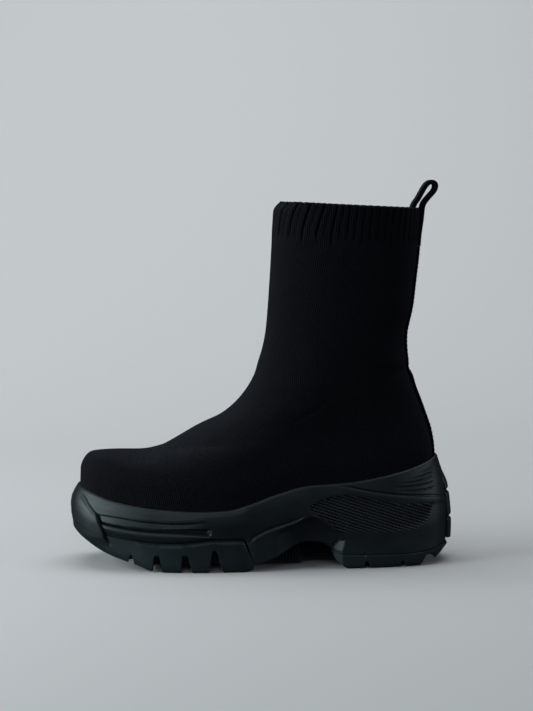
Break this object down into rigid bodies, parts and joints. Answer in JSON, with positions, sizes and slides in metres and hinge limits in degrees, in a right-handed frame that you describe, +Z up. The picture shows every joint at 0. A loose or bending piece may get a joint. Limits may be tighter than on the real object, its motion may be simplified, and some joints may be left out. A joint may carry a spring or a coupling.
{
  "type": "platform ankle boot",
  "caption": "Left platform ankle boot: hollow knitted sock upper with a ribbed collar, webbing back tape and pull loop, on a deep foam midsole with a lugged rubber outsole.",
  "frame": {"origin": "on the floor under the middle of the boot's box", "axes": "-X towards the toe, +X towards the heel, -Y towards the outer side of the foot, +Z up"},
  "size_m": [0.2864, 0.1046, 0.2854],
  "materials": {
    "outsole": "moulded black rubber, satin",
    "midsole": "moulded black foam with a satin skin",
    "insole": "black textile over foam",
    "upper": "fine black rib knit, matt",
    "webbing": "black ribbed webbing"
  },
  "bodies": {
    "root": {"outsole": "outsole", "midsole": "midsole", "insole": "insole", "upper": "upper", "back_tape": "webbing", "pull_loop": "webbing"}
  },
  "joints": []
}
